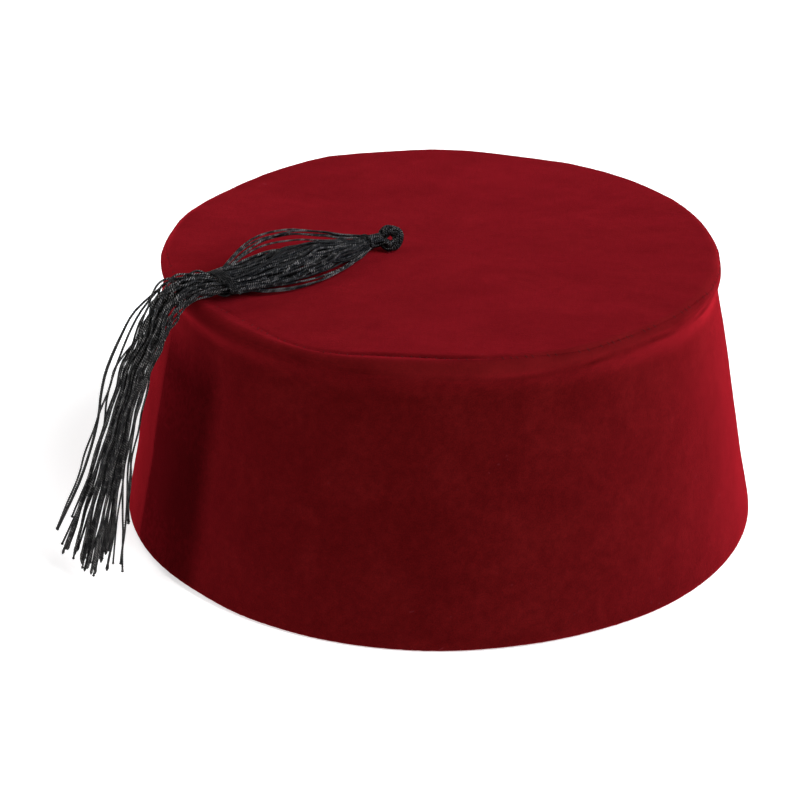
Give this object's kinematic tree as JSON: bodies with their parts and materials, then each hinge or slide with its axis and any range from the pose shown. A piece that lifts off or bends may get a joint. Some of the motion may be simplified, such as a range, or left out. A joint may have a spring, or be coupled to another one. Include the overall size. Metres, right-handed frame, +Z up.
{
  "type": "fez hat",
  "caption": "Round flared velvet hat with a flat stitched crown, a pale inner band and a black cord tassel that falls over the edge.",
  "frame": {"origin": "on the hat's axis, at the height of its lower edge, which is the surface that it rests on", "axes": "+Z up along the hat's axis through the crown; the tassel falls over the edge towards -X and a little -Y, at azimuth 212 degrees"},
  "size_m": [0.2078, 0.1917, 0.0921],
  "materials": {
    "red_velvet": "deep red short-pile velvet with a soft sheen",
    "beige_band": "matt grey-beige woven band",
    "black_cord": "glossy black twisted cord"
  },
  "bodies": {
    "root": {"crown_panel": "red_velvet", "side_band": "red_velvet", "inner_band": "beige_band", "tassel_skein": "black_cord", "loop_tie": "black_cord", "neck_binding": "black_cord", "tassel_skirt": "black_cord"}
  },
  "joints": []
}
